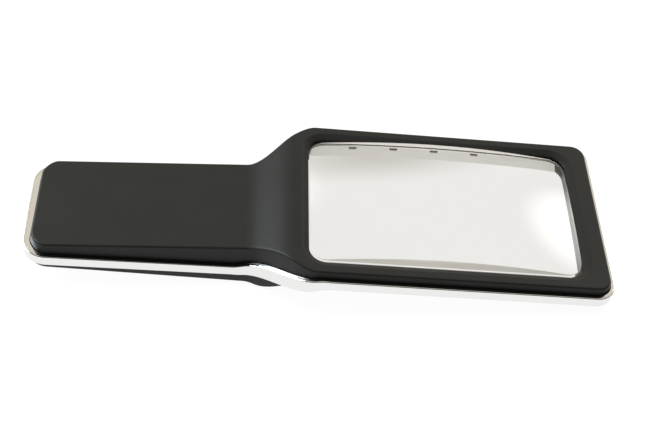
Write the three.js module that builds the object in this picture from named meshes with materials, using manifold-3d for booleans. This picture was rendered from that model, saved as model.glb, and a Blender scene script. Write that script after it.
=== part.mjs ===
// A lit rectangular hand magnifier: a flat hollow handle with three cells in it, a cranked neck,
// and a head that frames a domed lens over two strips of light-emitting diodes.
// Millimetres, +Z up, +X from the handle's butt to the head's tip. Every piece is drawn with the
// head level and the handle's underside at Z = 0. The whole is then set down at the end of the file
// as it lies on a table, nose down, with its origin at the bottom centre.

import * as THREE from 'three';
import { mergeVertices } from 'three/addons/utils/BufferGeometryUtils.js';
import Module from 'manifold-3d';

const wasm = await Module();
wasm.setup();

// ---------------------------------------------------------------- driving dimensions

const buttX = -130.8;
const tipX = 130;
const handleHalf = 28.2; // half the handle's width over the bright band
const headHalf = 46.4; // half the head's width over the bright band
const buttRadius = 11;
const tipRadius = 9;

// Where along X the neck widens, and where each of its surfaces climbs to the head.
const neckX = -34;
const flare = [-33.3, -2.1];
const bandClimb = [-37.8, 3.5];
const topClimb = [-34.5, -11.8];
const undersideClimb = [-28, -4];
const neckSpan = [-38, 4]; // all of these lie within it

const bandAtButt = 4.5; // height of the band's seat at the butt, at the neck and round the head
const bandAtNeck = 6.1;
const bandAtHead = 22.3;
const bandLevels = 5.2; // from the seat to the top of the band
const neckSwell = 1.3; // the band grows this much up and down where it climbs most
const topAtButt = 14.5; // height of the top surface at the same three places
const topAtNeck = 21.7;
const headTop = 31.25;
const skirtBottom = 16.8; // underside of the frame round the lens

const gap = 0.3; // kept between pieces that touch
const bandWidth = 1.75;
const buttLedge = 1.2; // how much wider the band is across the butt
const flangeThickness = 0.9;
const bandLip = 0.7; // thickness of the band's lip, which hangs down outside the lower casing's rim
const shellThickness = 1.8;
const plateThickness = 2.2;

const windowStart = -5.8;
const windowEnd = 116.5;
const windowHalf = 36.9;
const windowRadius = 7.8;
const bevelWidth = 2.85;
const bevelDrop = 1.5;

const lensTopRadius = 376; // radius of the upper dome, and of the flatter lower one
const lensUnderRadius = 1200;
const lensInset = 1.7; // from the window's long edges to the domes', and from its ends
const lensEndInset = 0.5;
const lensFlange = 3;
const lensFlangeThickness = 1.6;

const cellDiameter = 10.5;
const cellLength = 44.5;
const cellPitch = 11.6;
const cellCount = 3;
const bayStart = -118;
const bayEnd = -65;
const doorHalf = 19;
const doorEnd = -64;
const doorThickness = 1.7;

const diodeCount = 4;
const diodePitch = 19.1;
const diodeShift = -10.4; // the row starts nearer the handle, where its wires come in
const diodeRise = 1.5; // above the middle of the light bar
const lightTilt = THREE.MathUtils.degToRad(25);
const lightBarLength = 116;
const lightBarHeight = 6;

const switchTravel = 4;

// ---------------------------------------------------------------- values worked out from them

const lipInset = bandWidth + gap;
const rimInset = bandLip + gap;
const windowCentre = (windowStart + windowEnd) / 2;
const windowLengthHalf = (windowEnd - windowStart) / 2;
const lensFlangeTop = headTop - plateThickness - gap;
const lensFlangeUnder = lensFlangeTop - lensFlangeThickness;
const lensLevel = lensFlangeTop + 0.05; // the upper dome's height at its corners
const gasketThickness = 1;
const lensSeat = lensFlangeUnder - gap - gasketThickness - gap;
const skirtInset = 5.5;
const undersideEdge = 1.2; // the chamfer round the underside
const skirtInner = headHalf - skirtInset - shellThickness;
const skirtFloorThickness = 1.5;
const cellAxisHeight = doorThickness + 0.5 + cellDiameter / 2;

// ---------------------------------------------------------------- materials

function material(colour, roughness, metalness = 0) {
  return new THREE.MeshStandardMaterial({ color: colour, roughness, metalness });
}

const blackPlastic = material(0x2b2c2a, 0.55);
const chromePlate = material(0xe9eaec, 0.12, 1);
const clearAcrylic = material(0xe8f0f2, 0.03);
const whitePlastic = material(0xf0efe9, 0.5);
const boardGreen = material(0x2e5a3c, 0.6);
const springSteel = material(0xb9b8b2, 0.3, 1);
const cellJacket = material(0x8f7a3a, 0.4);
const diodePhosphor = material(0xe8d36a, 0.5);
const greyRubber = material(0x55565a, 0.85);
const redWire = material(0xa82a24, 0.5);
const blackWire = material(0x1c1c1e, 0.5);

// ---------------------------------------------------------------- joining and cutting

function toSolid(geometry) {
  const bare = geometry.index ? geometry.clone() : mergeVertices(geometry.clone());
  bare.deleteAttribute('normal');
  bare.deleteAttribute('uv');
  const merged = mergeVertices(bare, 1e-4);
  return new wasm.Manifold(new wasm.Mesh({
    numProp: 3,
    vertProperties: new Float32Array(merged.attributes.position.array),
    triVerts: new Uint32Array(merged.index.array),
  }));
}

function toGeometry(solid) {
  const mesh = solid.getMesh();
  const geometry = new THREE.BufferGeometry();
  geometry.setAttribute('position', new THREE.BufferAttribute(mesh.vertProperties, 3));
  geometry.setIndex(new THREE.BufferAttribute(mesh.triVerts, 1));
  geometry.computeVertexNormals();
  return geometry;
}

function block(xRange, yRange, zRange) {
  const size = [xRange, yRange, zRange].map(([low, high]) => high - low);
  const middle = [xRange, yRange, zRange].map(([low, high]) => (low + high) / 2);
  return toSolid(new THREE.BoxGeometry(...size).translate(...middle));
}

function upright(x, y, zRange, radius, sides = 20) {
  const height = zRange[1] - zRange[0];
  const geometry = new THREE.CylinderGeometry(radius, radius, height, sides);
  return toSolid(geometry.rotateX(Math.PI / 2).translate(x, y, zRange[0] + height / 2));
}

// ---------------------------------------------------------------- the outline and its heights

function ease(x, [start, end], low, high) {
  const t = THREE.MathUtils.clamp((x - start) / (end - start), 0, 1);
  return low + (high - low) * t * t * (3 - 2 * t);
}

// A value that runs in a straight line along the handle.
function alongHandle(x, atButt, atNeck) {
  return atButt + (atNeck - atButt) * Math.min((x - buttX) / (neckX - buttX), 1);
}

function swell(x) {
  const t = THREE.MathUtils.clamp((x - bandClimb[0]) / (bandClimb[1] - bandClimb[0]), 0, 1);
  return neckSwell * 4 * t * (1 - t);
}

const ledgeExtra = (x) => ease(x, [buttX, buttX + buttRadius], buttLedge, 0);
const halfWidth = (x) => ease(x, flare, handleHalf, headHalf);
const bandSeat = (x) => ease(x, bandClimb, alongHandle(x, bandAtButt, bandAtNeck), bandAtHead) - swell(x);
const bandTop = (x) => bandSeat(x) + bandLevels + 2 * swell(x);
const topSurface = (x) => ease(x, topClimb, alongHandle(x, topAtButt, topAtNeck), headTop);
const underside = (x) => ease(x, undersideClimb, 0, skirtBottom);
const undersideInset = (x) => ease(x, undersideClimb, alongHandle(x, 2.4, 0.9), skirtInset);
const tongueInset = (x) => ease(x, undersideClimb, 4.2, skirtInset) + ledgeExtra(x);

// Half of the band's outline, from the butt's flat end round to the tip's, moved in by an inset.
function halfOutline(inset) {
  const arcSteps = 7;
  const neckSteps = 22;
  const points = [];
  const add = (x, y, nx, ny) => {
    const d = inset(x);
    points.push({ x: x - d * nx, y: y - d * ny });
  };
  for (let i = 0; i <= arcSteps; i += 1) {
    const a = Math.PI - (Math.PI / 2) * (i / arcSteps);
    const [nx, ny] = [Math.cos(a), Math.sin(a)];
    add(buttX + buttRadius * (1 + nx), handleHalf - buttRadius * (1 - ny), nx, ny);
  }
  for (let i = 0; i <= neckSteps; i += 1) {
    const x = neckSpan[0] + (neckSpan[1] - neckSpan[0]) * (i / neckSteps);
    const slope = (halfWidth(x + 0.01) - halfWidth(x - 0.01)) / 0.02;
    const reach = Math.hypot(1, slope);
    add(x, halfWidth(x), -slope / reach, 1 / reach);
  }
  for (let i = 0; i <= arcSteps; i += 1) {
    const a = (Math.PI / 2) * (1 - i / arcSteps);
    const [nx, ny] = [Math.cos(a), Math.sin(a)];
    add(tipX - tipRadius * (1 - nx), headHalf - tipRadius * (1 - ny), nx, ny);
  }
  return points;
}

// The same for a plain rectangle with rounded corners.
function halfRectangle(xLow, xHigh, half, radius) {
  const arcSteps = 6;
  const points = [];
  for (let i = 0; i <= arcSteps; i += 1) {
    const a = Math.PI - (Math.PI / 2) * (i / arcSteps);
    points.push({ x: xLow + radius * (1 + Math.cos(a)), y: half - radius * (1 - Math.sin(a)) });
  }
  for (let i = 0; i <= arcSteps; i += 1) {
    const a = (Math.PI / 2) * (1 - i / arcSteps);
    points.push({ x: xHigh - radius * (1 - Math.cos(a)), y: half - radius * (1 - Math.sin(a)) });
  }
  return points;
}

// A closed body from half outlines stacked upwards, each mirrored in Y. Its ends are ladders of
// rungs across the body, so that they follow a surface which climbs along X.
function stack(levels) {
  const count = levels[0].length;
  const around = 2 * count;
  const positions = [];
  const indices = [];
  for (const level of levels) {
    for (const p of level) positions.push(p.x, -p.y, p.z);
    for (const p of [...level].reverse()) positions.push(p.x, p.y, p.z);
  }
  const quad = (a, b, c, d) => indices.push(a, b, c, a, c, d);
  for (let j = 0; j + 1 < levels.length; j += 1) {
    for (let i = 0; i < around; i += 1) {
      const next = (i + 1) % around;
      const low = j * around;
      const high = low + around;
      quad(low + i, low + next, high + next, high + i);
    }
  }
  const top = (levels.length - 1) * around;
  for (let i = 0; i + 1 < count; i += 1) {
    const mirror = around - 1 - i;
    quad(i, mirror, mirror - 1, i + 1);
    quad(top + i, top + i + 1, top + mirror - 1, top + mirror);
  }
  const geometry = new THREE.BufferGeometry();
  geometry.setAttribute('position', new THREE.Float32BufferAttribute(positions, 3));
  geometry.setIndex(indices);
  return toSolid(geometry);
}

// One level of the magnifier's own outline: an inset and a height, both functions of X.
function level(inset, height) {
  return halfOutline(inset).map((p) => ({ ...p, z: height(p.x) }));
}

function flat(value) {
  return () => value;
}

function roundedBlock(xLow, xHigh, half, radius, zLow, zHigh, spread = 0) {
  const rise = (points, z) => points.map((p) => ({ ...p, z }));
  return stack([
    rise(halfRectangle(xLow, xHigh, half, radius), zLow),
    rise(halfRectangle(xLow - spread, xHigh + spread, half + spread, radius + spread), zHigh),
  ]);
}

function windowBlock(grow, zLow, zHigh, spread = 0) {
  const [low, high] = [windowStart - grow, windowEnd + grow];
  return roundedBlock(low, high, windowHalf + grow, windowRadius + grow, zLow, zHigh, spread);
}

// ---------------------------------------------------------------- fasteners and where they go

const screws = [
  { name: 'screw_neck_near', x: -36, y: -19, seat: 4.4, split: 9, end: 14, shank: 1, head: 2.2 },
  { name: 'screw_neck_far', x: -36, y: 19, seat: 4.4, split: 9, end: 14, shank: 1, head: 2.2 },
  { name: 'screw_tip_near', x: 121.9, y: -28, seat: 19.6, split: 25.6, end: 27.8, shank: 0.8, head: 1.5 },
  { name: 'screw_tip_far', x: 121.9, y: 28, seat: 19.6, split: 25.6, end: 27.8, shank: 0.8, head: 1.5 },
];
const screwHeadHeight = 1.4;

function screw({ x, y, seat, end, shank, head }) {
  const profile = [[0, seat - screwHeadHeight], [head * 0.8, seat - screwHeadHeight],
    [head, seat - screwHeadHeight * 0.7], [head, seat], [shank, seat], [shank, end - shank], [0, end]];
  const lathe = new THREE.LatheGeometry(profile.map(([r, z]) => new THREE.Vector2(r, z)), 12);
  let body = toSolid(lathe.rotateX(Math.PI / 2).translate(x, y, 0));
  const slotHalf = head * 0.6;
  const slotDepth = screwHeadHeight * 0.5;
  const base = seat - screwHeadHeight;
  for (const [dx, dy] of [[slotHalf, 0.3], [0.3, slotHalf]]) {
    body = body.subtract(block([x - dx, x + dx], [y - dy, y + dy], [base - 1, base + slotDepth]));
  }
  return body;
}

// ---------------------------------------------------------------- housing

const slotLength = 6 + switchTravel + 2 * gap; // the opening that the switch's button slides in
const switchX = -50;
const switchZ = 15.2;
const switchButtonHeight = 2.6;

function topShell() {
  const crease = 1;
  const inset = (more) => (x) => lipInset + more + ledgeExtra(x);
  let body = stack([
    level(inset(0), (x) => bandSeat(x) + flangeThickness + gap),
    level(inset(0), bandTop),
    level(inset(0.55), (x) => topSurface(x) - crease),
    level(inset(0.8), (x) => topSurface(x) - crease * 0.35),
    level(inset(1.6), topSurface),
  ]);
  body = body.subtract(stack([
    level(inset(shellThickness), flat(-5)),
    level(inset(shellThickness), bandTop),
    level(inset(shellThickness + 1), (x) => topSurface(x) - plateThickness),
  ]));
  for (const s of screws) {
    const reach = topSurface(s.x) - 1;
    body = body.add(upright(s.x, s.y, [s.split + gap, reach], s.shank + 1.3));
    body = body.subtract(upright(s.x, s.y, [s.split, s.end + gap], s.shank + gap));
  }
  body = body.subtract(windowBlock(0, bandAtHead, headTop + 2));
  body = body.subtract(windowBlock(0, headTop - bevelDrop, headTop, bevelWidth));
  return body.subtract(block(
    [switchX - slotLength / 2, switchX + slotLength / 2],
    [handleHalf - 8, handleHalf + 2],
    [switchZ - switchButtonHeight / 2 - gap, switchZ + switchButtonHeight / 2 + gap],
  ));
}

function chromeBand() {
  const ledge = (x) => bandSeat(x) + flangeThickness + gap;
  const innerInset = (x) => bandWidth + ledgeExtra(x);
  const edge = 0.35;
  const outer = stack([
    level(flat(edge), bandSeat),
    level(flat(0), (x) => bandSeat(x) + edge),
    level(flat(0), (x) => bandTop(x) - edge),
    level(flat(edge), bandTop),
  ]);
  const inner = stack([
    level(flat(bandLip), (x) => bandSeat(x) - 2),
    level(flat(bandLip), ledge),
    level(innerInset, ledge),
    level(innerInset, (x) => bandTop(x) + 2),
  ]);
  return outer.subtract(inner);
}

function bottomOuter() {
  return stack([
    level((x) => undersideInset(x) + undersideEdge, underside),
    level(undersideInset, (x) => underside(x) + undersideEdge),
    level(undersideInset, bandSeat),
    level(flat(rimInset), bandSeat),
    level(flat(rimInset), (x) => bandSeat(x) + flangeThickness),
    level(tongueInset, (x) => bandSeat(x) + flangeThickness),
    level(tongueInset, (x) => bandSeat(x) + lensSeat - bandAtHead),
  ]);
}

function doorSolid(grow) {
  const reach = buttX - 5;
  const half = doorHalf + grow;
  const plate = block([reach, doorEnd + grow], [-half, half], [-1, doorThickness + grow]);
  const rails = block([reach, doorEnd + grow], [-half - 1, half + 1], [0.8 - grow, 1.4 + grow]);
  return plate.add(rails);
}

function bottomShell() {
  let body = bottomOuter();
  const floor = (x) => underside(x) + ease(x, undersideClimb, plateThickness, skirtFloorThickness);
  body = body.subtract(stack([
    level((x) => tongueInset(x) + shellThickness, floor),
    level((x) => tongueInset(x) + shellThickness, flat(60)),
  ]));
  for (const [low, high] of [[windowStart - 1.4, windowStart], [windowEnd, windowEnd + 1.4]]) {
    body = body.add(block([low, high], [-31, 31], [underside(low) + 0.4, lensSeat]));
  }
  for (const s of screws) {
    body = body.add(upright(s.x, s.y, [underside(s.x), s.split], s.head + 0.9));
    body = body.subtract(upright(s.x, s.y, [-1, s.seat + 0.1], s.head + gap));
    body = body.subtract(upright(s.x, s.y, [-1, s.split + 1], s.shank + gap));
  }
  for (const y of [-9, 9]) {
    body = body.add(upright(-44, y, [1, boardHeight - gap], 1.6));
  }
  body = body.subtract(roundedBlock(windowStart, windowEnd, 38, windowRadius, 0, lensSeat - 4));
  body = body.subtract(block([bayStart, bayEnd], [-doorHalf + 1, doorHalf - 1], [0, plateThickness + 1]));
  return body.subtract(doorSolid(gap));
}

// The sliding cover is the piece of the underside that its opening takes away, with a thumb grip.
function batteryDoor() {
  let body = bottomOuter().intersect(doorSolid(0));
  for (let i = 0; i < 6; i += 1) {
    const x = -80 - 2.2 * i;
    body = body.subtract(block([x, x + 1.1], [-7, 7], [-1, 0.5]));
  }
  return body;
}

// ---------------------------------------------------------------- lens

function domeBlock(grow, zLow, zHigh) {
  const [low, high] = [windowStart + lensEndInset - grow, windowEnd - lensEndInset + grow];
  return roundedBlock(low, high, windowHalf - lensInset + grow, windowRadius, zLow, zHigh);
}

function lens() {
  const reach = 84;
  const steps = 10;
  const sag = (radius, r) => radius - Math.sqrt(radius * radius - r * r);
  const corner = Math.hypot(windowLengthHalf, windowHalf) - windowRadius * (Math.SQRT2 - 1);
  const topPole = lensLevel + sag(lensTopRadius, corner);
  const underPole = lensFlangeUnder - sag(lensUnderRadius, corner);
  const profile = [];
  for (let i = 0; i <= steps; i += 1) {
    const r = (reach * i) / steps;
    profile.push(new THREE.Vector2(r, underPole + sag(lensUnderRadius, r)));
  }
  for (let i = steps; i >= 0; i -= 1) {
    const r = (reach * i) / steps;
    profile.push(new THREE.Vector2(r, topPole - sag(lensTopRadius, r)));
  }
  const disc = new THREE.LatheGeometry(profile, 36).rotateX(Math.PI / 2).translate(windowCentre, 0, 0);
  const body = toSolid(disc).intersect(domeBlock(0, 0, 60));
  return body.add(windowBlock(lensFlange, lensFlangeUnder, lensFlangeTop));
}

function lensGasket() {
  const [low, high] = [lensFlangeUnder - gap - gasketThickness, lensFlangeUnder - gap];
  return windowBlock(lensFlange, low, high).subtract(domeBlock(gap, low - 1, high + 1));
}

// ---------------------------------------------------------------- lighting

const lightCentreY = skirtInner - 0.35 - 2.49;
const lightCentreZ = 21.85;
const boardDepth = 1;
const barDepth = 1.4;
const stackDepth = boardDepth + gap + barDepth;

// Each strip is modelled upright, facing -Y, about its own centre, and then tilted to face down.
function placeLight(mesh, side) {
  const mirror = side === 'far' ? 1 : -1;
  mesh.position.set(windowCentre, mirror * lightCentreY, lightCentreZ);
  mesh.rotation.set(mirror * -lightTilt, 0, mirror === 1 ? 0 : Math.PI, 'XYZ');
  return mesh;
}

// The near strip is turned round, so its row is drawn the other way.
function diodeX(i, side) {
  const along = side === 'far' ? 1 : -1;
  return along * (diodeShift + (i - (diodeCount - 1) / 2) * diodePitch);
}

function lightBoard() {
  const half = lightBarLength / 2;
  const back = stackDepth / 2;
  return block([-half, half], [back - boardDepth, back], [-lightBarHeight / 2, lightBarHeight / 2]);
}

function lightBar(side) {
  const half = lightBarLength / 2;
  const front = -stackDepth / 2;
  let body = block([-half, half], [front, front + barDepth], [-lightBarHeight / 2, lightBarHeight / 2]);
  for (let i = 0; i < diodeCount; i += 1) {
    const x = diodeX(i, side);
    const heights = [diodeRise - 0.8, diodeRise + 0.8];
    body = body.subtract(block([x - 2, x + 2], [front - 1, front + barDepth + 1], heights));
  }
  return body;
}

function diode(i, side) {
  const x = diodeX(i, side);
  const back = stackDepth / 2 - boardDepth - gap;
  const base = block([x - 1.6, x + 1.6], [back - 1, back], [diodeRise - 0.5, diodeRise + 0.5]);
  const dish = block([x - 1.2, x + 1.2], [back - 2, back - 0.8], [diodeRise - 0.3, diodeRise + 0.3]);
  return base.subtract(dish);
}

// ---------------------------------------------------------------- power

const boardHeight = 8;
const trayHalf = (cellCount * cellPitch) / 2 + 1.2;
const trayTop = 13;
const contactThickness = 0.4;
const springLength = 5.6;

function cellY(i) {
  return (i - (cellCount - 1) / 2) * cellPitch;
}

function cylinderAlongX(xRange, y, z, radius, sides) {
  const span = xRange[1] - xRange[0];
  const geometry = new THREE.CylinderGeometry(radius, radius, span, sides).rotateZ(Math.PI / 2);
  return toSolid(geometry.translate(xRange[0] + span / 2, y, z));
}

function batteryTray() {
  let body = block([bayStart - 1.6, bayEnd + 1.6], [-trayHalf, trayHalf], [3, trayTop]);
  for (let i = 0; i < cellCount; i += 1) {
    const radius = cellDiameter / 2 + gap;
    const y = cellY(i);
    body = body.subtract(cylinderAlongX([bayStart, bayEnd], y, cellAxisHeight, radius, 24));
    body = body.subtract(block([bayStart, bayEnd], [y - radius, y + radius], [0, cellAxisHeight]));
  }
  return body;
}

// Neighbouring cells lie head to tail, so every second one is turned round.
function facing(i) {
  return i % 2 === 0 ? 1 : -1;
}

function place(mesh, i) {
  mesh.position.set((bayStart + bayEnd) / 2, cellY(i), cellAxisHeight);
  mesh.rotation.z = facing(i) === 1 ? 0 : Math.PI;
  return mesh;
}

const bayHalf = (bayEnd - bayStart) / 2;
const cellStart = -bayHalf + gap + contactThickness + gap;

function cell() {
  const radius = cellDiameter / 2 - 0.05;
  const nib = 1;
  const [low, high] = [cellStart, cellStart + cellLength];
  const profile = [[0, low], [1.9, low], [1.9, low + nib], [radius - 0.5, low + nib],
    [radius, low + nib + 0.5], [radius, high - 0.5], [radius - 0.5, high], [0, high]];
  const lathe = new THREE.LatheGeometry(profile.map(([r, z]) => new THREE.Vector2(r, z)), 24);
  return toSolid(lathe.rotateZ(-Math.PI / 2));
}

function contactPlate() {
  return block([-bayHalf + gap, -bayHalf + gap + contactThickness], [-4, 4], [-4, 3.6]);
}

// A conical coil whose last turn is fused to its plate.
function contactSpring() {
  const turns = 3.5;
  const steps = 56;
  const start = cellStart + cellLength + gap + 0.35;
  const points = [];
  for (let i = 0; i <= steps; i += 1) {
    const t = i / steps;
    const a = 2 * Math.PI * turns * t;
    const r = 2 + 1.3 * t;
    points.push(new THREE.Vector3(start + springLength * t, r * Math.cos(a), r * Math.sin(a)));
  }
  const wire = new THREE.Shape().absarc(0, 0, 0.3, 0, 2 * Math.PI);
  const path = new THREE.CatmullRomCurve3(points);
  const coil = new THREE.ExtrudeGeometry(wire, { steps: 42, curveSegments: 3, extrudePath: path });
  const plateX = start + springLength - 0.1;
  return toSolid(coil).add(block([plateX, plateX + contactThickness], [-4, 4], [-4, 3.6]));
}

function mainBoard() {
  return block([-59, -39], [-13, 13], [boardHeight, boardHeight + 1.2]);
}

function switchBody() {
  const y = switchFoot - gap;
  return block([switchX - 8, switchX + 8], [y - 5, y], [switchZ - 2.3, switchZ + 2.3]);
}

const switchFoot = 21.6; // where the button's foot begins, behind the top shell's wall

// The button is drawn at rest, off, at the butt end of its slot.
function switchSlider() {
  const rest = switchX - switchTravel / 2;
  const half = switchButtonHeight / 2;
  const foot = block([rest - 4, rest + 4], [switchFoot, switchFoot + 1.2], [switchZ - 2.1, switchZ + 2.1]);
  const stem = block([rest - 3, rest + 3], [switchFoot + 1, 26.9], [switchZ - half, switchZ + half]);
  let body = stem.add(foot);
  for (let i = 0; i < 4; i += 1) {
    const x = rest - 2.2 + 1.2 * i;
    body = body.subtract(block([x, x + 0.6], [26.5, 27.5], [switchZ - half - 1, switchZ + half + 1]));
  }
  return body;
}

function wire(points, radius = 0.55) {
  const path = new THREE.CatmullRomCurve3(points.map(([x, y, z]) => new THREE.Vector3(x, y, z)));
  const section = new THREE.Shape().absarc(0, 0, radius, 0, 2 * Math.PI);
  return toSolid(new THREE.ExtrudeGeometry(section, { steps: 14, curveSegments: 3, extrudePath: path }));
}

function batteryWire(side) {
  return wire([[-62.8, side * 10, 10.4], [-59, side * 10, 11.6], [-54, side * 9.4, 11.4],
    [-50, side * 9, 10]]);
}

function lightWire(side) {
  return wire([[-42, side * 7, 10], [-36, side * 8, 12.5], [-24, side * 17, 15.5], [-12, side * 29, 21],
    [-7, side * 35.6, 22.4], [-3.4, side * 36.6, 22.2]]);
}

// ---------------------------------------------------------------- assembly

const magnifier = new THREE.Group();

function piece(name, solid, look) {
  const mesh = new THREE.Mesh(toGeometry(solid), look);
  mesh.name = name;
  magnifier.add(mesh);
  return mesh;
}

piece('top_shell', topShell(), blackPlastic);
piece('bottom_shell', bottomShell(), blackPlastic);
piece('chrome_band', chromeBand(), chromePlate);
piece('lens', lens(), clearAcrylic);
piece('lens_gasket', lensGasket(), greyRubber);
piece('battery_door', batteryDoor(), blackPlastic);
piece('battery_tray', batteryTray(), blackPlastic);
piece('main_board', mainBoard(), boardGreen);
piece('switch_body', switchBody(), springSteel);
piece('switch_slider', switchSlider(), blackPlastic);
piece('battery_wire_red', batteryWire(-1), redWire);
piece('battery_wire_black', batteryWire(1), blackWire);
for (let i = 0; i < cellCount; i += 1) {
  place(piece(`cell_${i + 1}`, cell(), cellJacket), i);
  place(piece(`contact_plate_${i + 1}`, contactPlate(), springSteel), i);
  place(piece(`contact_spring_${i + 1}`, contactSpring(), springSteel), i);
}
for (const side of ['near', 'far']) {
  placeLight(piece(`light_board_${side}`, lightBoard(), boardGreen), side);
  placeLight(piece(`light_bar_${side}`, lightBar(side), whitePlastic), side);
  for (let i = 0; i < diodeCount; i += 1) {
    placeLight(piece(`diode_${side}_${i + 1}`, diode(i, side), diodePhosphor), side);
  }
  piece(`light_wire_${side}`, lightWire(side === 'far' ? 1 : -1), blackWire);
}
for (const s of screws) piece(s.name, screw(s), springSteel);

// Lying on a table it touches with the front of the handle's underside and the tip of the skirt.
function restAngle() {
  const tipContact = tipX - skirtInset - undersideEdge;
  let slope = 0;
  for (let x = neckSpan[0]; x < neckSpan[1]; x += 0.25) {
    slope = Math.max(slope, (skirtBottom - underside(x)) / (tipContact - x));
  }
  return Math.atan(slope);
}

magnifier.rotation.y = restAngle();
magnifier.updateMatrixWorld(true);
const extent = new THREE.Box3().setFromObject(magnifier, true);
magnifier.position.set(-(extent.min.x + extent.max.x) / 2, 0, -extent.min.z);

export default magnifier;
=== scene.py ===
"""A lit rectangular hand magnifier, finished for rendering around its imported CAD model.

The housing, the band, the lens, the battery door, the switch's button and the screws are drawn again
here with fine fillets. Shapes are drawn in millimetres as the CAD draws them, with the head level and the
handle's underside at zero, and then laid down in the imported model's frame, nose down, in metres.
"""

import math

import bmesh
import bpy
from mathutils import Matrix, Vector


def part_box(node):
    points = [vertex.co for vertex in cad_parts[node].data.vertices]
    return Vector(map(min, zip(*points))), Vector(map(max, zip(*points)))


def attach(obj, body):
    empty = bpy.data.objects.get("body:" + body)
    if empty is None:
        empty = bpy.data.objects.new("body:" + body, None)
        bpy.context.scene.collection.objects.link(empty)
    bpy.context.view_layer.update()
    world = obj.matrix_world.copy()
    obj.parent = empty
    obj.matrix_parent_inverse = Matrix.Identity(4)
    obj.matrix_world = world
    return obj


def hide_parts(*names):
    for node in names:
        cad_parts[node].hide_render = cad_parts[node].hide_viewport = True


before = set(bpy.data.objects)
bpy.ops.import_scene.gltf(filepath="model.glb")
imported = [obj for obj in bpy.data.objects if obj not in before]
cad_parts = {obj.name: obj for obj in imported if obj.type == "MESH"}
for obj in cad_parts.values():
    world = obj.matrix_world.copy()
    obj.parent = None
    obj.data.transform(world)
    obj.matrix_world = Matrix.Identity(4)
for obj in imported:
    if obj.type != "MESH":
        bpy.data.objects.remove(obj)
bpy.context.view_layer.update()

MM = 0.001

# ---------------------------------------------------------------- dimensions, in millimetres

BUTT_X = -130.8
TIP_X = 130
HANDLE_HALF = 28.2  # half the handle's width over the bright band
HEAD_HALF = 46.4
BUTT_RADIUS = 11
TIP_RADIUS = 9

NECK_X = -34
FLARE = (-33.3, -2.1)  # where the neck widens
BAND_CLIMB = (-37.8, 3.5)  # where the band, the top and the underside climb to the head
TOP_CLIMB = (-34.5, -11.8)
UNDERSIDE_CLIMB = (-28, -4)
NECK_SPAN = (-38, 4)  # all of these lie within it

BAND_SEAT = (4.5, 6.1, 22.3)  # heights at the butt, at the neck and round the head
TOP_HEIGHT = (14.5, 21.7, 31.25)
SKIRT_BOTTOM = 16.8
BAND_LEVELS = 5.2  # from the band's seat to its top
NECK_SWELL = 1.3

GAP = 0.3
BAND_WIDTH = 1.75
BUTT_LEDGE = 1.2  # how much wider the band is across the butt
FLANGE = 0.9  # thickness of the lower shell's rim under the band
BAND_LIP = 0.7  # thickness of the band's lip, which hangs down outside that rim
RIM_INSET = BAND_LIP + GAP
SHELL = 1.8
PLATE = 2.2
LIP_INSET = BAND_WIDTH + GAP
SKIRT_INSET = 5.5
UNDERSIDE_EDGE = 1.2
SKIRT_FLOOR = 1.5

WINDOW = (-5.8, 116.5)
WINDOW_HALF = 36.9
WINDOW_RADIUS = 7.8
WINDOW_CENTRE = sum(WINDOW) / 2
BEVEL_WIDTH = 2.85
BEVEL_DROP = 1.5

LENS_TOP_RADIUS = 376
LENS_UNDER_RADIUS = 1200
LENS_INSET = 1.7  # from the window's long edges to the domes', and from its ends
LENS_END_INSET = 0.5
LENS_FLANGE = 3
LENS_FLANGE_THICKNESS = 1.6
GASKET_THICKNESS = 1
LENS_FLANGE_TOP = TOP_HEIGHT[2] - PLATE - GAP
LENS_FLANGE_UNDER = LENS_FLANGE_TOP - LENS_FLANGE_THICKNESS
LENS_LEVEL = LENS_FLANGE_TOP + 0.05  # the upper dome's height at its corners
LENS_SEAT = LENS_FLANGE_UNDER - GAP - GASKET_THICKNESS - GAP

DOOR_HALF = 19
DOOR_END = -64
DOOR_THICKNESS = 1.7
DOOR_RAIL = (0.8, 1.4)  # heights of the rails along the door, which stand out by their width
DOOR_RAIL_WIDTH = 1
BAY = (-118, -65)

SWITCH_X = -50
SWITCH_Z = 15.2
SWITCH_TRAVEL = 4
SWITCH_HEIGHT = 2.6
SWITCH_HALF = 3  # half the button's length
SWITCH_FOOT = 21.6  # how far out its foot starts, and how far out the button ends
SWITCH_END = 26.9
BOARD_X = -49
BOARD_HEIGHT = 8
BOARD_THICKNESS = 1.2

SCREW_SIZES = {
    "neck": {"x": -36, "y": 19, "seat": 4.4, "split": 9, "end": 14, "shank": 1, "head": 2.2},
    "tip": {"x": 121.9, "y": 28, "seat": 19.6, "split": 25.6, "end": 27.8, "shank": 0.8, "head": 1.5},
}
SCREWS = {
    f"screw_{place}_{side}": {**size, "y": sign * size["y"]}
    for place, size in SCREW_SIZES.items() for side, sign in (("near", -1), ("far", 1))
}

FAR_BELOW = -5  # heights that lie outside the whole housing
FAR_ABOVE = 60

ARC_STEPS = 20  # in a quarter turn of the outline
NECK_STEPS = 72
FILLET_STEPS = 6


# ---------------------------------------------------------------- heights and the outline

def clamp(value):
    return min(max(value, 0), 1)


def ease(x, span, low, high):
    t = clamp((x - span[0]) / (span[1] - span[0]))
    return low + (high - low) * t * t * (3 - 2 * t)


def along_handle(x, at_butt, at_neck):
    """A value that runs in a straight line along the handle."""
    return at_butt + (at_neck - at_butt) * min((x - BUTT_X) / (NECK_X - BUTT_X), 1)


def swell(x):
    """How far the band grows up and down where it climbs."""
    t = clamp((x - BAND_CLIMB[0]) / (BAND_CLIMB[1] - BAND_CLIMB[0]))
    return NECK_SWELL * 4 * t * (1 - t)


def ledge_extra(x):
    return ease(x, (BUTT_X, BUTT_X + BUTT_RADIUS), BUTT_LEDGE, 0)


def half_width(x):
    return ease(x, FLARE, HANDLE_HALF, HEAD_HALF)


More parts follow.
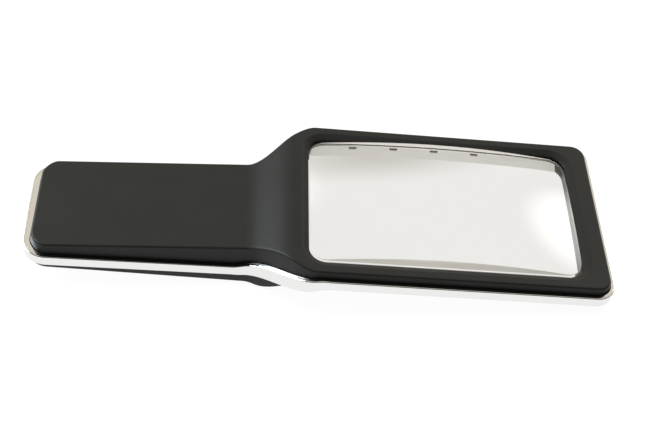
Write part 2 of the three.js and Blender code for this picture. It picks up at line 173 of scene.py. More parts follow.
def band_seat(x):
    return ease(x, BAND_CLIMB, along_handle(x, BAND_SEAT[0], BAND_SEAT[1]), BAND_SEAT[2]) - swell(x)


def band_foot(x):
    return band_seat(x) + FLANGE + GAP


def band_top(x):
    return band_seat(x) + BAND_LEVELS + 2 * swell(x)


def top_surface(x):
    return ease(x, TOP_CLIMB, along_handle(x, TOP_HEIGHT[0], TOP_HEIGHT[1]), TOP_HEIGHT[2])


def underside(x):
    return ease(x, UNDERSIDE_CLIMB, 0, SKIRT_BOTTOM)


def underside_inset(x):
    return ease(x, UNDERSIDE_CLIMB, along_handle(x, 2.4, 0.9), SKIRT_INSET)


def tongue_inset(x):
    return ease(x, UNDERSIDE_CLIMB, 4.2, SKIRT_INSET) + ledge_extra(x)


def quarter_turn(start):
    """Unit directions over a quarter turn clockwise from an angle."""
    angles = [start - math.pi / 2 * i / ARC_STEPS for i in range(ARC_STEPS + 1)]
    return [(math.cos(a), math.sin(a)) for a in angles]


def half_outline(inset):
    """The far half of the band's outline, from the butt round to the tip, moved in by an inset."""
    nudge = 0.01
    stations = []
    for nx, ny in quarter_turn(math.pi):
        stations.append((BUTT_X + BUTT_RADIUS * (1 + nx), HANDLE_HALF - BUTT_RADIUS * (1 - ny), nx, ny))
    for i in range(NECK_STEPS + 1):
        x = NECK_SPAN[0] + (NECK_SPAN[1] - NECK_SPAN[0]) * i / NECK_STEPS
        slope = (half_width(x + nudge) - half_width(x - nudge)) / (2 * nudge)
        reach = math.hypot(1, slope)
        stations.append((x, half_width(x), -slope / reach, 1 / reach))
    for nx, ny in quarter_turn(math.pi / 2):
        stations.append((TIP_X - TIP_RADIUS * (1 - nx), HEAD_HALF - TIP_RADIUS * (1 - ny), nx, ny))
    return [(x - inset(x) * nx, y - inset(x) * ny) for x, y, nx, ny in stations]


def half_rectangle(low, high, half, radius):
    """The far half of a rectangle with rounded corners."""
    corners = [(low + radius, nx, ny) for nx, ny in quarter_turn(math.pi)]
    corners += [(high - radius, nx, ny) for nx, ny in quarter_turn(math.pi / 2)]
    return [(centre + radius * nx, half - radius * (1 - ny)) for centre, nx, ny in corners]


def fixed(value):
    return lambda x: value


def level(inset, height):
    """One closed loop of the magnifier's outline. An inset or a height is a number or a function of X."""
    inset = inset if callable(inset) else fixed(inset)
    height = height if callable(height) else fixed(height)
    return mirrored([(x, y, height(x)) for x, y in half_outline(inset)])


def mirrored(half):
    return [(x, -y, z) for x, y, z in half] + half[::-1]


def window_loop(grow, z):
    half = half_rectangle(WINDOW[0] - grow, WINDOW[1] + grow, WINDOW_HALF + grow, WINDOW_RADIUS + grow)
    return mirrored([(x, y, z) for x, y in half])


def fillet(radius, rising=True):
    """Offsets (in, down) from a sharp corner along a quarter round, from its wall to its top."""
    offsets = []
    for i in range(FILLET_STEPS + 1):
        a = math.pi / 2 * i / FILLET_STEPS
        offsets.append((radius * (1 - math.cos(a)), radius * (1 - math.sin(a))))
    return offsets if rising else offsets[::-1]


# ---------------------------------------------------------------- meshes

def mesh_object(name, points, faces):
    mesh = bpy.data.meshes.new(name)
    mesh.from_pydata(points, [], faces)
    mesh.validate()
    piece = bpy.data.objects.new(name, mesh)
    bpy.context.scene.collection.objects.link(piece)
    return piece


def face_outwards(piece):
    shape = bmesh.new()
    shape.from_mesh(piece.data)
    bmesh.ops.recalc_face_normals(shape, faces=shape.faces)
    shape.to_mesh(piece.data)
    shape.free()
    return piece


def side_faces(loop_count, around, closed=False):
    """The quads between stacked loops, and back from the last loop to the first if it is closed."""
    faces = []
    for j in range(loop_count if closed else loop_count - 1):
        low = j * around
        high = ((j + 1) % loop_count) * around
        for i in range(around):
            following = (i + 1) % around
            faces.append((low + i, low + following, high + following, high + i))
    return faces


def stack(loops, name="body"):
    """A closed body from loops stacked upwards. Its ends are ladders of rungs across the body."""
    around = len(loops[0])
    faces = side_faces(len(loops), around)
    top = (len(loops) - 1) * around
    for i in range(around // 2 - 1):
        mirror = around - 1 - i
        faces.append((i, mirror, mirror - 1, i + 1))
        faces.append((top + i, top + i + 1, top + mirror - 1, top + mirror))
    return face_outwards(mesh_object(name, [p for loop in loops for p in loop], faces))


def ring(loops, name):
    """A closed ring: loops one after another round its section."""
    points = [p for loop in loops for p in loop]
    return face_outwards(mesh_object(name, points, side_faces(len(loops), len(loops[0]), closed=True)))


def block(xs, ys, zs):
    points = [(x, y, z) for x in xs for y in ys for z in zs]
    faces = [(0, 1, 3, 2), (4, 6, 7, 5), (0, 4, 5, 1), (2, 3, 7, 6), (0, 2, 6, 4), (1, 5, 7, 3)]
    return face_outwards(mesh_object("block", points, faces))


def turned(profile, x, y, sides=32):
    """A body turned about an upright axis, from (radius, height) points that start and end on it."""
    points = [(x, y, profile[0][1])]
    for radius, z in profile[1:-1]:
        for i in range(sides):
            a = 2 * math.pi * i / sides
            points.append((x + radius * math.cos(a), y + radius * math.sin(a), z))
    points.append((x, y, profile[-1][1]))
    faces = [tuple(1 + k for k in quad) for quad in side_faces(len(profile) - 2, sides)]
    last = len(points) - 1
    for i in range(sides):
        following = (i + 1) % sides
        faces.append((0, 1 + following, 1 + i))
        faces.append((last, last - sides + i, last - sides + following))
    return face_outwards(mesh_object("turned", points, faces))


def upright(x, y, zs, radius):
    return turned([(0, zs[0]), (radius, zs[0]), (radius, zs[1]), (0, zs[1])], x, y)


def apply_modifiers(piece):
    graph = bpy.context.evaluated_depsgraph_get()
    mesh = bpy.data.meshes.new_from_object(piece.evaluated_get(graph))
    piece.modifiers.clear()
    piece.data = mesh


def combine(piece, tool, operation):
    """Joins the tool to the piece, cuts it away, or keeps what both share. The tool is used up."""
    modifier = piece.modifiers.new("combine", "BOOLEAN")
    modifier.operation = operation
    modifier.solver = "EXACT"
    modifier.object = tool
    apply_modifiers(piece)
    bpy.data.objects.remove(tool)
    return piece


def cut(piece, tool):
    return combine(piece, tool, "DIFFERENCE")


def join(piece, tool):
    return combine(piece, tool, "UNION")


def soften(piece):
    """Rounds the sharp edges of a body that was cut from blocks."""
    modifier = piece.modifiers.new("soften", "BEVEL")
    modifier.width = 0.12
    modifier.segments = 2
    modifier.limit_method = "ANGLE"
    modifier.angle_limit = math.radians(50)
    apply_modifiers(piece)
    return piece


def rest_angle():
    """Lying on a table it touches with the front of the handle's underside and the tip of the skirt."""
    contact = TIP_X - SKIRT_INSET - UNDERSIDE_EDGE
    step = 0.25
    stations = [NECK_SPAN[0] + step * i for i in range(int((NECK_SPAN[1] - NECK_SPAN[0]) / step))]
    return math.atan(max((SKIRT_BOTTOM - underside(x)) / (contact - x) for x in stations))


def rest_matrix():
    """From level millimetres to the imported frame, found from where the main board lies in it."""
    turn = Matrix.Rotation(rest_angle(), 4, "Y")
    low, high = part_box("main_board")
    board_centre = turn @ Vector((BOARD_X, 0, BOARD_HEIGHT + BOARD_THICKNESS / 2))
    shift = (low + high) / 2 / MM - board_centre
    return Matrix.Scale(MM, 4) @ Matrix.Translation(shift) @ turn


REST = rest_matrix()


def finish_piece(piece, name, look, body="housing", sharp=32):
    """Lays a piece down in the frame, gives it its look, and lets it stand for its CAD node."""
    piece.name = name + "_fine"
    piece.data.name = piece.name
    piece.data.transform(REST)
    piece.data.materials.clear()
    piece.data.materials.append(look)
    for face in piece.data.polygons:
        face.use_smooth = True
    piece.data.set_sharp_from_angle(angle=math.radians(sharp))
    weights = piece.modifiers.new("normals", "WEIGHTED_NORMAL")
    weights.keep_sharp = True
    apply_modifiers(piece)
    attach(piece, body)
    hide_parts(name)


# ---------------------------------------------------------------- materials

def new_look(name, colour, roughness, metallic=0.0):
    look = bpy.data.materials.new(name)
    look.use_nodes = True
    shader = look.node_tree.nodes["Principled BSDF"]
    shader.inputs["Base Color"].default_value = (*colour, 1)
    shader.inputs["Roughness"].default_value = roughness
    shader.inputs["Metallic"].default_value = metallic
    return look, shader


def add_node(look, kind, **values):
    node = look.node_tree.nodes.new(kind)
    for key, value in values.items():
        if key in node.inputs:
            node.inputs[key].default_value = value
        else:
            setattr(node, key, value)
    return node


def wire_up(look, source, target):
    look.node_tree.links.new(source, target)


def noise(look, scale, detail=3.0):
    """A noise that is fixed to the object. Scale is in cycles per metre."""
    place = add_node(look, "ShaderNodeTexCoord")
    node = add_node(look, "ShaderNodeTexNoise", Scale=scale, Detail=detail)
    wire_up(look, place.outputs["Object"], node.inputs["Vector"])
    return node.outputs["Fac"]


def vary(look, shader, socket, scale, low, high):
    """Lets a number on the shader wander between two values."""
    spread = add_node(look, "ShaderNodeMapRange")
    spread.inputs["From Min"].default_value = 0.3
    spread.inputs["From Max"].default_value = 0.7
    spread.inputs["To Min"].default_value = low
    spread.inputs["To Max"].default_value = high
    wire_up(look, noise(look, scale), spread.inputs["Value"])
    wire_up(look, spread.outputs["Result"], shader.inputs[socket])


def mottle(look, shader, scale, first, second):
    """Lets the base colour wander between two colours."""
    ramp = add_node(look, "ShaderNodeValToRGB")
    ramp.color_ramp.elements[0].position = 0.35
    ramp.color_ramp.elements[1].position = 0.65
    ramp.color_ramp.elements[0].color = (*first, 1)
    ramp.color_ramp.elements[1].color = (*second, 1)
    wire_up(look, noise(look, scale), ramp.inputs["Fac"])
    wire_up(look, ramp.outputs["Color"], shader.inputs["Base Color"])


def grain(look, shader, scale, depth_mm, strength=1.0):
    """A fine bumpy texture in the surface."""
    bump = add_node(look, "ShaderNodeBump", Strength=strength, Distance=depth_mm * MM)
    wire_up(look, noise(look, scale, detail=2.0), bump.inputs["Height"])
    wire_up(look, bump.outputs["Normal"], shader.inputs["Normal"])


def black_plastic():
    look, shader = new_look("black_plastic", (0.0125, 0.0125, 0.0115), 0.42)
    mottle(look, shader, 45, (0.0118, 0.0118, 0.0108), (0.0132, 0.0132, 0.0122))
    vary(look, shader, "Roughness", 160, 0.38, 0.46)
    grain(look, shader, 2600, 0.012, 0.4)
    shader.inputs["Specular IOR Level"].default_value = 0.21
    return look


def chrome():
    look, shader = new_look("chrome", (0.80, 0.80, 0.79), 0.06, metallic=1.0)
    vary(look, shader, "Roughness", 220, 0.05, 0.09)
    return look


def acrylic():
    look, shader = new_look("lens_acrylic", (0.868, 0.862, 0.845), 0.0)
    vary(look, shader, "Roughness", 60, 0.0, 0.003)
    shader.inputs["Transmission Weight"].default_value = 1.0
    shader.inputs["IOR"].default_value = 1.49
    return look


def ground_edge():
    """The lens's matt edge, pale and warm. Its faint glow stands in for light caught in the lens."""
    look, shader = new_look("ground_edge", (0.80, 0.775, 0.72), 0.35)
    mottle(look, shader, 70, (0.72, 0.69, 0.63), (0.88, 0.86, 0.82))
    vary(look, shader, "Roughness", 500, 0.3, 0.45)
    shader.inputs["Transmission Weight"].default_value = 0.35
    shader.inputs["IOR"].default_value = 1.49
    shader.inputs["Emission Color"].default_value = (1.0, 0.95, 0.86, 1)
    shader.inputs["Emission Strength"].default_value = 0.36
    return look


def white_plastic():
    """The light bars. Their faint glow stands in for light thrown about inside the well."""
    look, shader = new_look("white_plastic", (0.82, 0.81, 0.78), 0.4)
    vary(look, shader, "Roughness", 400, 0.35, 0.5)
    mottle(look, shader, 60, (0.80, 0.79, 0.755), (0.84, 0.83, 0.80))
    shader.inputs["Emission Color"].default_value = (1.0, 0.98, 0.94, 1)
    shader.inputs["Emission Strength"].default_value = 0.35
    return look


def board():
    look, shader = new_look("board_green", (0.05, 0.17, 0.08), 0.45)
    mottle(look, shader, 900, (0.035, 0.14, 0.06), (0.06, 0.2, 0.1))
    grain(look, shader, 1500, 0.02)
    return look


def steel():
    look, shader = new_look("spring_steel", (0.62, 0.61, 0.58), 0.3, metallic=1.0)
    vary(look, shader, "Roughness", 700, 0.22, 0.4)
    grain(look, shader, 2500, 0.01, 0.6)
    return look


def cell_jacket():
    """A printed film: a gold end and a dark body, split across the length of the cell."""
    look, shader = new_look("cell_jacket", (0.05, 0.05, 0.05), 0.3, metallic=0.4)
    place = add_node(look, "ShaderNodeTexCoord")
    split = add_node(look, "ShaderNodeSeparateXYZ")
    low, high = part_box("cell_1")
    ramp = add_node(look, "ShaderNodeValToRGB")
    ramp.color_ramp.interpolation = "CONSTANT"
    ramp.color_ramp.elements[0].color = (0.62, 0.61, 0.58, 1)
    ramp.color_ramp.elements[1].position = 0.06
    ramp.color_ramp.elements[1].color = (0.028, 0.028, 0.03, 1)
    for position, colour in ((0.66, (0.55, 0.33, 0.08, 1)), (0.95, (0.62, 0.61, 0.58, 1))):
        ramp.color_ramp.elements.new(position).color = colour
    along = add_node(look, "ShaderNodeMapRange")
    along.inputs["From Min"].default_value = low.x
    along.inputs["From Max"].default_value = high.x
    wire_up(look, place.outputs["Object"], split.inputs["Vector"])
    wire_up(look, split.outputs["X"], along.inputs["Value"])
    wire_up(look, along.outputs["Result"], ramp.inputs["Fac"])
    wire_up(look, ramp.outputs["Color"], shader.inputs["Base Color"])
    grain(look, shader, 500, 0.01, 0.4)
    return look


def dark_diode():
    # A dark brownish yellow, far darker than a bare diode's yellow phosphor, with a random tone.
    look, shader = new_look("diode", (0.16, 0.14, 0.09), 0.25)
    mottle(look, shader, 2500, (0.10, 0.09, 0.06), (0.22, 0.19, 0.10))
    return look


def rubber():
    look, shader = new_look("grey_rubber", (0.03, 0.03, 0.031), 0.8)
    mottle(look, shader, 300, (0.025, 0.025, 0.026), (0.035, 0.035, 0.036))
    grain(look, shader, 1800, 0.03)
    return look


def insulation(name, colour):
    look, shader = new_look(name, colour, 0.45)
    mottle(look, shader, 500, tuple(c * 0.85 for c in colour), tuple(c * 1.15 for c in colour))
    grain(look, shader, 1200, 0.02, 0.5)
    return look


LOOKS = {
    "black_plastic": black_plastic(),
    "chrome": chrome(),
    "lens_acrylic": acrylic(),
    "white_plastic": white_plastic(),
    "board_green": board(),
    "spring_steel": steel(),
    "cell_jacket": cell_jacket(),
    "diode": dark_diode(),
    "grey_rubber": rubber(),
    "red_wire": insulation("red_wire", (0.4, 0.03, 0.025)),
    "black_wire": insulation("black_wire", (0.02, 0.02, 0.021)),
}

# The CAD nodes that stay in view, by the start of their names.
NODE_LOOKS = {
    "lens_gasket": "grey_rubber",
    "battery_tray": "black_plastic",
    "main_board": "board_green",
    "switch_body": "spring_steel",
    "battery_wire_red": "red_wire",
    "battery_wire_black": "black_wire",
    "light_wire": "black_wire",
    "cell_": "cell_jacket",
    "contact_": "spring_steel",
    "light_board": "board_green",
    "light_bar": "white_plastic",
    "diode_": "diode",
}


def paint_nodes():
    for name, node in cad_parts.items():
        for start, slot in NODE_LOOKS.items():
            if name.startswith(start):
                for holder in node.material_slots:
                    holder.material = LOOKS[slot]


# ---------------------------------------------------------------- housing

CREASE = 1.05  # radius of the round between the wall and the top
DRAFT = 0.55  # how far the wall leans in


def window_cutter():
    """Cuts the window: a straight wall, then a bevel that opens upwards with rounded ends.

    The run's points are a height over the head's top and a spread from the window's edge.
    """
    top = TOP_HEIGHT[2]
    run = [(-6, 0), (-BEVEL_DROP - 0.25, 0), (-BEVEL_DROP - 0.08, 0.04), (-BEVEL_DROP + 0.12, 0.24),
           (-0.3, BEVEL_WIDTH - 0.5), (-0.12, BEVEL_WIDTH - 0.1), (-0.03, BEVEL_WIDTH + 0.25),
           (0.02, BEVEL_WIDTH + 0.75), (0.6, BEVEL_WIDTH + 0.75)]
    return stack([window_loop(spread, top + dz) for dz, spread in run])


def make_top_shell():
    def inset(more):
        return lambda x: LIP_INSET + more + ledge_extra(x)

    loops = [level(inset(0), band_foot), level(inset(0), band_top)]
    for inward, down in fillet(CREASE):
        loops.append(level(inset(DRAFT + inward), lambda x, down=down: top_surface(x) - down))
    body = stack(loops)
    cut(body, stack([
        level(inset(SHELL), FAR_BELOW),
        level(inset(SHELL), band_top),
        level(inset(SHELL + 1), lambda x: top_surface(x) - PLATE),
    ]))
    boss_wall = 1.3
    for s in SCREWS.values():
        reach = top_surface(s["x"]) - 1
        join(body, upright(s["x"], s["y"], (s["split"] + GAP, reach), s["shank"] + boss_wall))
        cut(body, upright(s["x"], s["y"], (s["split"], s["end"] + GAP), s["shank"] + GAP))
    cut(body, window_cutter())
    slot_half = SWITCH_HALF + SWITCH_TRAVEL / 2 + GAP
    cut(body, block(
        (SWITCH_X - slot_half, SWITCH_X + slot_half),
        (HANDLE_HALF - 8, HANDLE_HALF + 2),  # right through the wall
        (SWITCH_Z - SWITCH_HEIGHT / 2 - GAP, SWITCH_Z + SWITCH_HEIGHT / 2 + GAP),
    ))
    finish_piece(body, "top_shell", LOOKS["black_plastic"])


def make_chrome_band():
    """The bright rail: a rounded lip, a rounded outer corner and a fine groove along its ledge."""
    foot_radius = 0.35
    corner_radius = 0.4
    groove = ((0.62, 0), (0.7, -0.1), (0.82, -0.1), (0.9, 0))  # how far in, and how high

    def inner(x):
        return BAND_WIDTH + ledge_extra(x)

    section = [(inner, band_foot, 0), (BAND_LIP, band_foot, 0), (BAND_LIP, band_seat, 0)]
    section += [(inward, band_seat, down) for inward, down in fillet(foot_radius, rising=False)]
    section += [(inward, band_top, -down) for inward, down in fillet(corner_radius)]
    for inward, rise in (*groove, (inner, 0)):
        section.append((inward, band_top, rise))
    loops = []
    for inward, base, rise in section:
        loops.append(level(inward, lambda x, base=base, rise=rise: base(x) + rise))
    finish_piece(ring(loops, "band"), "chrome_band", LOOKS["chrome"], sharp=40)


def bottom_outer():
    """The lower casing's outside, with the rim inside the band's lip and the tongue above it."""
    rim_edge = 0.2
    loops = []
    for inward, up in fillet(UNDERSIDE_EDGE, rising=False):
        loops.append(level(
            lambda x, inward=inward: underside_inset(x) + inward,
            lambda x, up=up: underside(x) + up,
        ))
    loops += [
        level(underside_inset, band_seat),
        level(RIM_INSET + rim_edge, band_seat),
        level(RIM_INSET, lambda x: band_seat(x) + rim_edge),
        level(RIM_INSET, lambda x: band_seat(x) + FLANGE),
        level(tongue_inset, lambda x: band_seat(x) + FLANGE),
        level(tongue_inset, lambda x: band_seat(x) + LENS_SEAT - BAND_SEAT[2]),
    ]
    return stack(loops)


def door_solid(grow):
    """The door's plate and rails, all round larger by an amount, and running out past the butt."""
    along = (BUTT_X - 5, DOOR_END + grow)
    half = DOOR_HALF + grow
    rail = half + DOOR_RAIL_WIDTH
    plate = block(along, (-half, half), (-1, DOOR_THICKNESS + grow))
    return join(plate, block(along, (-rail, rail), (DOOR_RAIL[0] - grow, DOOR_RAIL[1] + grow)))


def shell_floor(x):
    return underside(x) + ease(x, UNDERSIDE_CLIMB, PLATE, SKIRT_FLOOR)


def make_bottom_shell():
    rib_thickness = 1.4  # of the walls across the head at both ends of the window
    rib_half = 31
    boss_wall = 0.9
    post_radius = 1.6  # of the two posts under the main board
    post_x = -44
    well_half = 38
    body = bottom_outer()
    cut(body, stack([
        level(lambda x: tongue_inset(x) + SHELL, shell_floor),
        level(lambda x: tongue_inset(x) + SHELL, FAR_ABOVE),
    ]))
    for low in (WINDOW[0] - rib_thickness, WINDOW[1]):
        heights = (underside(low) + 0.4, LENS_SEAT)
        join(body, block((low, low + rib_thickness), (-rib_half, rib_half), heights))
    for s in SCREWS.values():
        x, y = s["x"], s["y"]
        join(body, upright(x, y, (underside(x), s["split"]), s["head"] + boss_wall))
        cut(body, upright(x, y, (-1, s["seat"] + 0.1), s["head"] + GAP))
        cut(body, upright(x, y, (-1, s["split"] + 1), s["shank"] + GAP))
    for y in (-9, 9):
        join(body, upright(post_x, y, (1, BOARD_HEIGHT - GAP), post_radius))
    well = half_rectangle(*WINDOW, well_half, WINDOW_RADIUS)
    cut(body, stack([mirrored([(x, y, z) for x, y in well]) for z in (0, LENS_SEAT - 4)]))
    cut(body, block(BAY, (-DOOR_HALF + 1, DOOR_HALF - 1), (0, PLATE + 1)))
    cut(body, door_solid(GAP))
    finish_piece(body, "bottom_shell", LOOKS["black_plastic"])


def make_battery_door():
    """The piece of the underside that its opening takes away, with a thumb grip of six grooves."""
    grip_start = -80
    groove_pitch = 2.2
    body = combine(bottom_outer(), door_solid(0), "INTERSECT")
    for i in range(6):
        x = grip_start - groove_pitch * i
        cut(body, block((x, x + groove_pitch / 2), (-7, 7), (-1, 0.5)))
    finish_piece(soften(body), "battery_door", LOOKS["black_plastic"], body="door")


def make_switch():
    """The button: a ribbed stem on a foot that slides behind the wall."""
    rest = SWITCH_X - SWITCH_TRAVEL / 2
    half = SWITCH_HEIGHT / 2
    foot_half = SWITCH_HALF + 1
    foot_rise = 2.1
    foot_thickness = 1.2
    groove_pitch = 1.2
    groove_depth = 0.4
    heights = (SWITCH_Z - half, SWITCH_Z + half)
    body = block((rest - SWITCH_HALF, rest + SWITCH_HALF), (SWITCH_FOOT + 1, SWITCH_END), heights)
    join(body, block((rest - foot_half, rest + foot_half), (SWITCH_FOOT, SWITCH_FOOT + foot_thickness),
                     (SWITCH_Z - foot_rise, SWITCH_Z + foot_rise)))
    for i in range(4):
        x = rest - 2.2 + groove_pitch * i
        cut(body, block((x, x + groove_pitch / 2), (SWITCH_END - groove_depth, SWITCH_END + 0.6),
                        (heights[0] - 1, heights[1] + 1)))
    finish_piece(soften(body), "switch_slider", LOOKS["black_plastic"], body="switch")


def make_screws():
    """Pan heads with a cross slot, seen from below."""
    head_height = 1.4
    dome = ((0.45, 0), (0.75, 0.12), (0.94, 0.35), (1, 0.7))  # shares of the head's radius, and heights
    slot_half = 0.3
    for name, s in SCREWS.items():
        base = s["seat"] - head_height
        profile = [(0, base)]
        profile += [(s["head"] * share, base + rise) for share, rise in dome]
        profile += [(s["head"], s["seat"]), (s["shank"], s["seat"])]
        profile += [(s["shank"], s["end"] - s["shank"]), (0, s["end"])]
        body = turned(profile, s["x"], s["y"])
        reach = s["head"] * 0.6
        for dx, dy in ((reach, slot_half), (slot_half, reach)):
            cut(body, block((s["x"] - dx, s["x"] + dx), (s["y"] - dy, s["y"] + dy),
                            (base - 1, base + head_height / 2)))
        finish_piece(body, name, LOOKS["spring_steel"])


# ---------------------------------------------------------------- lens

def sag(radius, x, y):
    """How far a sphere of that radius falls from its pole at a point of the lens."""
    return radius - math.sqrt(radius ** 2 - (x - WINDOW_CENTRE) ** 2 - y ** 2)


def with_stations(loop, steps):
    """The loop with points added along its four straight sides, which are its longest edges."""
    result = []
    for i, start in enumerate(loop):
        end = loop[(i + 1) % len(loop)]
        count = steps if math.dist(start, end) > WINDOW_RADIUS else 1
        for k in range(count):
            result.append(tuple(a + (b - a) * k / count for a, b in zip(start, end)))
    return result


def make_lens():
    """Two domes on a flange: loops from the lower pole out to the flange and back to the upper pole."""
    dome_steps = 36
    side_steps = 40
    # About how far the window's rounded corners are from its centre.
    corner = math.hypot((WINDOW[1] - WINDOW[0]) / 2, WINDOW_HALF) - WINDOW_RADIUS * (math.sqrt(2) - 1)
    corner_x = WINDOW_CENTRE + corner
    top_pole = LENS_LEVEL + sag(LENS_TOP_RADIUS, corner_x, 0)
    under_pole = LENS_FLANGE_UNDER - sag(LENS_UNDER_RADIUS, corner_x, 0)

    def dome_loop(z):
        ends = (WINDOW[0] + LENS_END_INSET, WINDOW[1] - LENS_END_INSET)
        half = half_rectangle(*ends, WINDOW_HALF - LENS_INSET, WINDOW_RADIUS)
        return with_stations(mirrored([(x, y, z) for x, y in half]), side_steps)

    def flange_loop(z):
        return with_stations(window_loop(LENS_FLANGE, z), side_steps)

    edge = dome_loop(0)

    def dome(share, height):
        loop = [(WINDOW_CENTRE + share * (x - WINDOW_CENTRE), share * y) for x, y, _ in edge]
        return [(x, y, height(x, y)) for x, y in loop]

    def under(x, y):
        return under_pole + sag(LENS_UNDER_RADIUS, x, y)

    def top(x, y):
        return top_pole - sag(LENS_TOP_RADIUS, x, y)

    shares = [(i + 1) / dome_steps for i in range(dome_steps)]
    loops = [dome(share, under) for share in shares]
    loops += [dome_loop(LENS_FLANGE_UNDER), flange_loop(LENS_FLANGE_UNDER)]
    loops += [flange_loop(LENS_FLANGE_TOP), dome_loop(LENS_FLANGE_TOP)]
    loops += [dome(share, top) for share in shares[::-1]]
    around = len(edge)
    points = [p for loop in loops for p in loop]
    faces = side_faces(len(loops), around)
    points += [(WINDOW_CENTRE, 0, under_pole), (WINDOW_CENTRE, 0, top_pole)]
    last_loop = (len(loops) - 1) * around
    for i in range(around):
        following = (i + 1) % around
        faces.append((len(points) - 2, following, i))
        faces.append((len(points) - 1, last_loop + i, last_loop + following))
    body = face_outwards(mesh_object("lens", points, faces))
    finish_piece(body, "lens", LOOKS["lens_acrylic"])
    paint_upright_faces(body, ground_edge())


def paint_upright_faces(piece, look):
    """Gives a second look to the faces that stand within about 17 degrees of upright."""
    piece.data.materials.append(look)
    steepest = 0.3
    for face in piece.data.polygons:
        if abs(face.normal.z) < steepest:
            face.material_index = 1


# ---------------------------------------------------------------- camera, floor and light

def make_camera():
    azimuth, elevation, roll = (math.radians(a) for a in (1.40, 48.84, 0.70))
    target = Vector((4.0, 17.5, -6.05)) * MM
    distance = 575.6 * MM
    data = bpy.data.cameras.new("camera")
    data.sensor_width = 36
    data.lens = 66.46
    data.clip_start = 0.01
    camera = bpy.data.objects.new("camera", data)
    bpy.context.scene.collection.objects.link(camera)
    aim = Vector((math.sin(azimuth) * math.cos(elevation), math.cos(azimuth) * math.cos(elevation),
                  -math.sin(elevation)))
    turn = (-aim).to_track_quat("Z", "Y").to_matrix().to_4x4()
    camera.matrix_world = Matrix.Translation(target - aim * distance) @ turn @ Matrix.Rotation(roll, 4, "Z")
    bpy.context.scene.camera = camera


def shade_floor(look, shader):
    """A soft warm shade painted on the table under the head's far side, seen through the lens."""
    centre = (0.030, 0.047, 0)
    reach = (0.070, 0.020)
    place = add_node(look, "ShaderNodeTexCoord")
    mapping = add_node(look, "ShaderNodeMapping", vector_type="TEXTURE", Location=centre, Scale=(*reach, 1))
    distance = add_node(look, "ShaderNodeVectorMath", operation="LENGTH")
    fade = add_node(look, "ShaderNodeMapRange", interpolation_type="SMOOTHSTEP")
    mix = add_node(look, "ShaderNodeMix", data_type="RGBA")
    mix.inputs[6].default_value = (0.62, 0.60, 0.55, 1)
    mix.inputs[7].default_value = (1, 1, 1, 1)
    wire_up(look, place.outputs["Object"], mapping.inputs["Vector"])
    wire_up(look, mapping.outputs["Vector"], distance.inputs[0])
    wire_up(look, distance.outputs["Value"], fade.inputs["Value"])
    wire_up(look, fade.outputs["Result"], mix.inputs["Factor"])
    wire_up(look, mix.outputs[2], shader.inputs["Emission Color"])


def make_floor():
    look, shader = new_look("pale_floor", (0.06, 0.06, 0.06), 0.9)
    vary(look, shader, "Roughness", 3, 0.85, 0.95)
    shader.inputs["Specular IOR Level"].default_value = 0.0
    shader.inputs["Emission Strength"].default_value = 0.96
    shade_floor(look, shader)
    reach = 4.0
    points = [(-reach, -reach, 0), (reach, -reach, 0), (reach, reach, 0), (-reach, reach, 0)]
    floor = mesh_object("floor", points, [(0, 1, 2, 3)])
    floor.data.materials.append(look)


def make_light(name, place, size, power, colour=(1, 1, 1)):
    data = bpy.data.lights.new(name, "AREA")
    data.shape = "RECTANGLE"
    data.size, data.size_y = size
    data.energy = power
    data.color = colour
    light = bpy.data.objects.new(name, data)
    light.location = place
    light.rotation_euler = (-Vector(place)).to_track_quat("-Z", "Y").to_euler()
    bpy.context.scene.collection.objects.link(light)
    return light


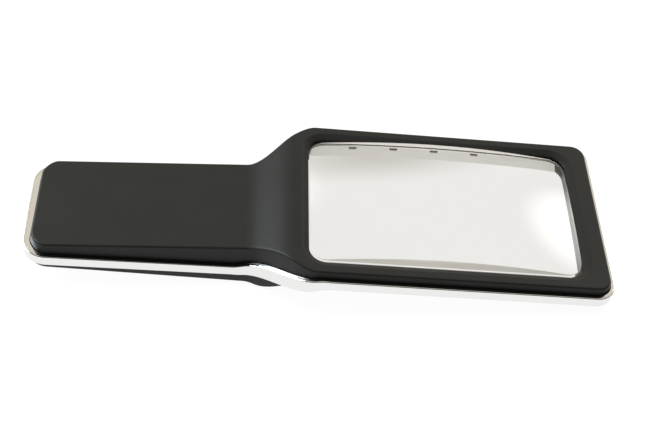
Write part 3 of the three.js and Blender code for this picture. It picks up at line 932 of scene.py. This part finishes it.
def add_glow(world, place, towards, edges, colour):
    """A soft bright patch of the studio round one direction, between two angles in degrees from it."""
    dot = add_node(world, "ShaderNodeVectorMath", operation="DOT_PRODUCT")
    dot.inputs[1].default_value = Vector(towards).normalized()
    spread = add_node(world, "ShaderNodeMapRange", interpolation_type="SMOOTHSTEP")
    spread.inputs["From Min"].default_value = math.cos(math.radians(edges[1]))
    spread.inputs["From Max"].default_value = math.cos(math.radians(edges[0]))
    glow = add_node(world, "ShaderNodeVectorMath", operation="SCALE")
    glow.inputs[0].default_value = colour
    wire_up(world, place.outputs["Generated"], dot.inputs[0])
    wire_up(world, dot.outputs["Value"], spread.inputs["Value"])
    wire_up(world, spread.outputs["Result"], glow.inputs["Scale"])
    return glow.outputs["Vector"]


def make_world():
    """A dark studio with two soft patches of light, and pale where the camera looks past the floor."""
    world = bpy.data.worlds.new("studio")
    bpy.context.scene.world = world
    world.use_nodes = True
    world.node_tree.nodes.clear()
    place = add_node(world, "ShaderNodeTexCoord")
    wall_behind = add_glow(world, place, (0.1, 0.8, 0.6), (30, 65), (0.80, 0.74, 0.64))
    right_lamp = add_glow(world, place, (0.60, 0.60, 0.55), (2, 10), (5, 5, 5))
    both = add_node(world, "ShaderNodeVectorMath", operation="ADD")
    path = add_node(world, "ShaderNodeLightPath")
    mix = add_node(world, "ShaderNodeMix", data_type="RGBA")
    mix.inputs[7].default_value = (0.95, 0.95, 0.95, 1)
    background = add_node(world, "ShaderNodeBackground")
    output = add_node(world, "ShaderNodeOutputWorld")
    wire_up(world, wall_behind, both.inputs[0])
    wire_up(world, right_lamp, both.inputs[1])
    wire_up(world, path.outputs["Is Camera Ray"], mix.inputs["Factor"])
    wire_up(world, both.outputs["Vector"], mix.inputs[6])
    wire_up(world, mix.outputs[2], background.inputs["Color"])
    wire_up(world, background.outputs["Background"], output.inputs["Surface"])


def light_scene():
    """The overhead light isn't reflected in anything bright. The window, on the left, gives the neck
    its cool sheen and isn't seen through the lens."""
    make_world()
    overhead = make_light("overhead", (0.1, 0.1, 1.6), (1.4, 1.2), 30)
    overhead.visible_glossy = False
    overhead.visible_transmission = False
    window = make_light("window", (-0.85, 0.24, 0.47), (0.75, 0.75), 13, (0.86, 0.95, 1.0))
    window.visible_transmission = False
    bpy.context.scene.view_settings.view_transform = "Standard"


make_camera()
make_floor()
light_scene()
paint_nodes()
make_top_shell()
make_chrome_band()
make_bottom_shell()
make_battery_door()
make_switch()
make_screws()
make_lens()
